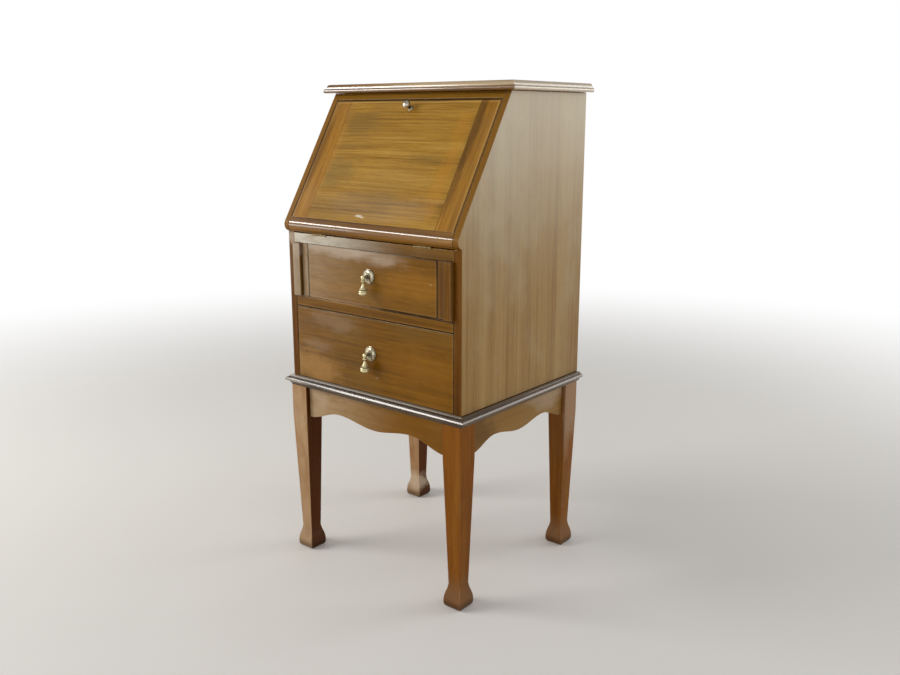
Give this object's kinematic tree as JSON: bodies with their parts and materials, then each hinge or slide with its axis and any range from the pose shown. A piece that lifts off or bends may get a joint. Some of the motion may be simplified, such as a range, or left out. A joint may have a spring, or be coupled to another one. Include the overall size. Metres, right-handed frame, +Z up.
{
  "type": "bureau desk",
  "caption": "Slant-front bureau desk on a tapered-leg stand, with a drop-down writing fall on pull-out lopers, drawers with drop pulls and a fitted interior.",
  "frame": {"origin": "on the floor, under the middle of the whole desk", "axes": "+Z up, -Y towards the front with the drawers, +X to the right of someone facing it"},
  "size_m": [0.4954, 0.434, 1.003],
  "materials": {
    "mahogany": "satin polish, dark reddish brown",
    "fall_veneer": "satin polish, golden brown streaky veneer",
    "drawer_veneer": "satin polish, warm brown veneer",
    "inner_wood": "plain, unpolished",
    "brass": "polished, a little aged"
  },
  "bodies": {
    "desk_case": {"leg_front_left": "mahogany", "leg_front_right": "mahogany", "leg_rear_left": "mahogany", "leg_rear_right": "mahogany", "apron_front": "mahogany", "apron_left": "mahogany", "apron_right": "mahogany", "apron_rear": "mahogany", "waist_front": "mahogany", "waist_left": "mahogany", "waist_right": "mahogany", "waist_rear": "mahogany", "side_left": "mahogany", "side_right": "mahogany", "top_board": "mahogany", "writing_bed": "mahogany", "mid_rail": "mahogany", "divider_left": "mahogany", "divider_right": "mahogany", "head_rail": "fall_veneer", "case_bottom": "inner_wood", "back_panel": "inner_wood", "dust_board": "inner_wood", "pigeonhole_shelf": "inner_wood", "pigeonhole_divider_1": "inner_wood", "pigeonhole_divider_2": "inner_wood", "pigeonhole_divider_3": "inner_wood", "hinge_leaf_case_left": "brass", "hinge_leaf_case_right": "brass"},
    "fall": {"fall_panel": "fall_veneer", "fall_stile_left": "fall_veneer", "fall_stile_right": "fall_veneer", "fall_top_rail": "fall_veneer", "fall_nosing": "mahogany", "fall_knob": "brass", "hinge_leaf_fall_left": "brass", "hinge_leaf_fall_right": "brass"},
    "left_loper": {"loper_left": "mahogany"},
    "right_loper": {"loper_right": "mahogany"},
    "top_drawer": {"top_drawer_front": "drawer_veneer", "top_drawer_side_left": "inner_wood", "top_drawer_side_right": "inner_wood", "top_drawer_back": "inner_wood", "top_drawer_bottom": "inner_wood", "top_pull_rose": "brass", "top_pull_nut": "brass"},
    "bottom_drawer": {"bottom_drawer_front": "drawer_veneer", "bottom_drawer_side_left": "inner_wood", "bottom_drawer_side_right": "inner_wood", "bottom_drawer_back": "inner_wood", "bottom_drawer_bottom": "inner_wood", "bottom_pull_rose": "brass", "bottom_pull_nut": "brass"},
    "top_pull": {"top_pull_drop": "brass"},
    "bottom_pull": {"bottom_pull_drop": "brass"}
  },
  "joints": [
    {"name": "fall_hinge", "type": "hinge", "parent": "desk_case", "child": "fall", "pos_m": [0, -0.19112, 0.706], "axis": [1, 0, 0], "range_deg": [0, 121.3]},
    {"name": "left_loper_slide", "type": "slide", "parent": "desk_case", "child": "left_loper", "axis": [0, -1, 0], "range_m": [-0.0065, 0.24]},
    {"name": "right_loper_slide", "type": "slide", "parent": "desk_case", "child": "right_loper", "axis": [0, -1, 0], "range_m": [-0.0065, 0.24]},
    {"name": "top_drawer_slide", "type": "slide", "parent": "desk_case", "child": "top_drawer", "axis": [0, -1, 0], "range_m": [0, 0.25]},
    {"name": "bottom_drawer_slide", "type": "slide", "parent": "desk_case", "child": "bottom_drawer", "axis": [0, -1, 0], "range_m": [0, 0.27]},
    {"name": "top_pull_swing", "type": "hinge", "parent": "top_drawer", "child": "top_pull", "pos_m": [0, -0.20727, 0.6365], "axis": [1, 0, 0], "range_deg": [-90, 12]},
    {"name": "bottom_pull_swing", "type": "hinge", "parent": "bottom_drawer", "child": "bottom_pull", "pos_m": [0, -0.20727, 0.48165], "axis": [1, 0, 0], "range_deg": [-90, 12]}
  ]
}
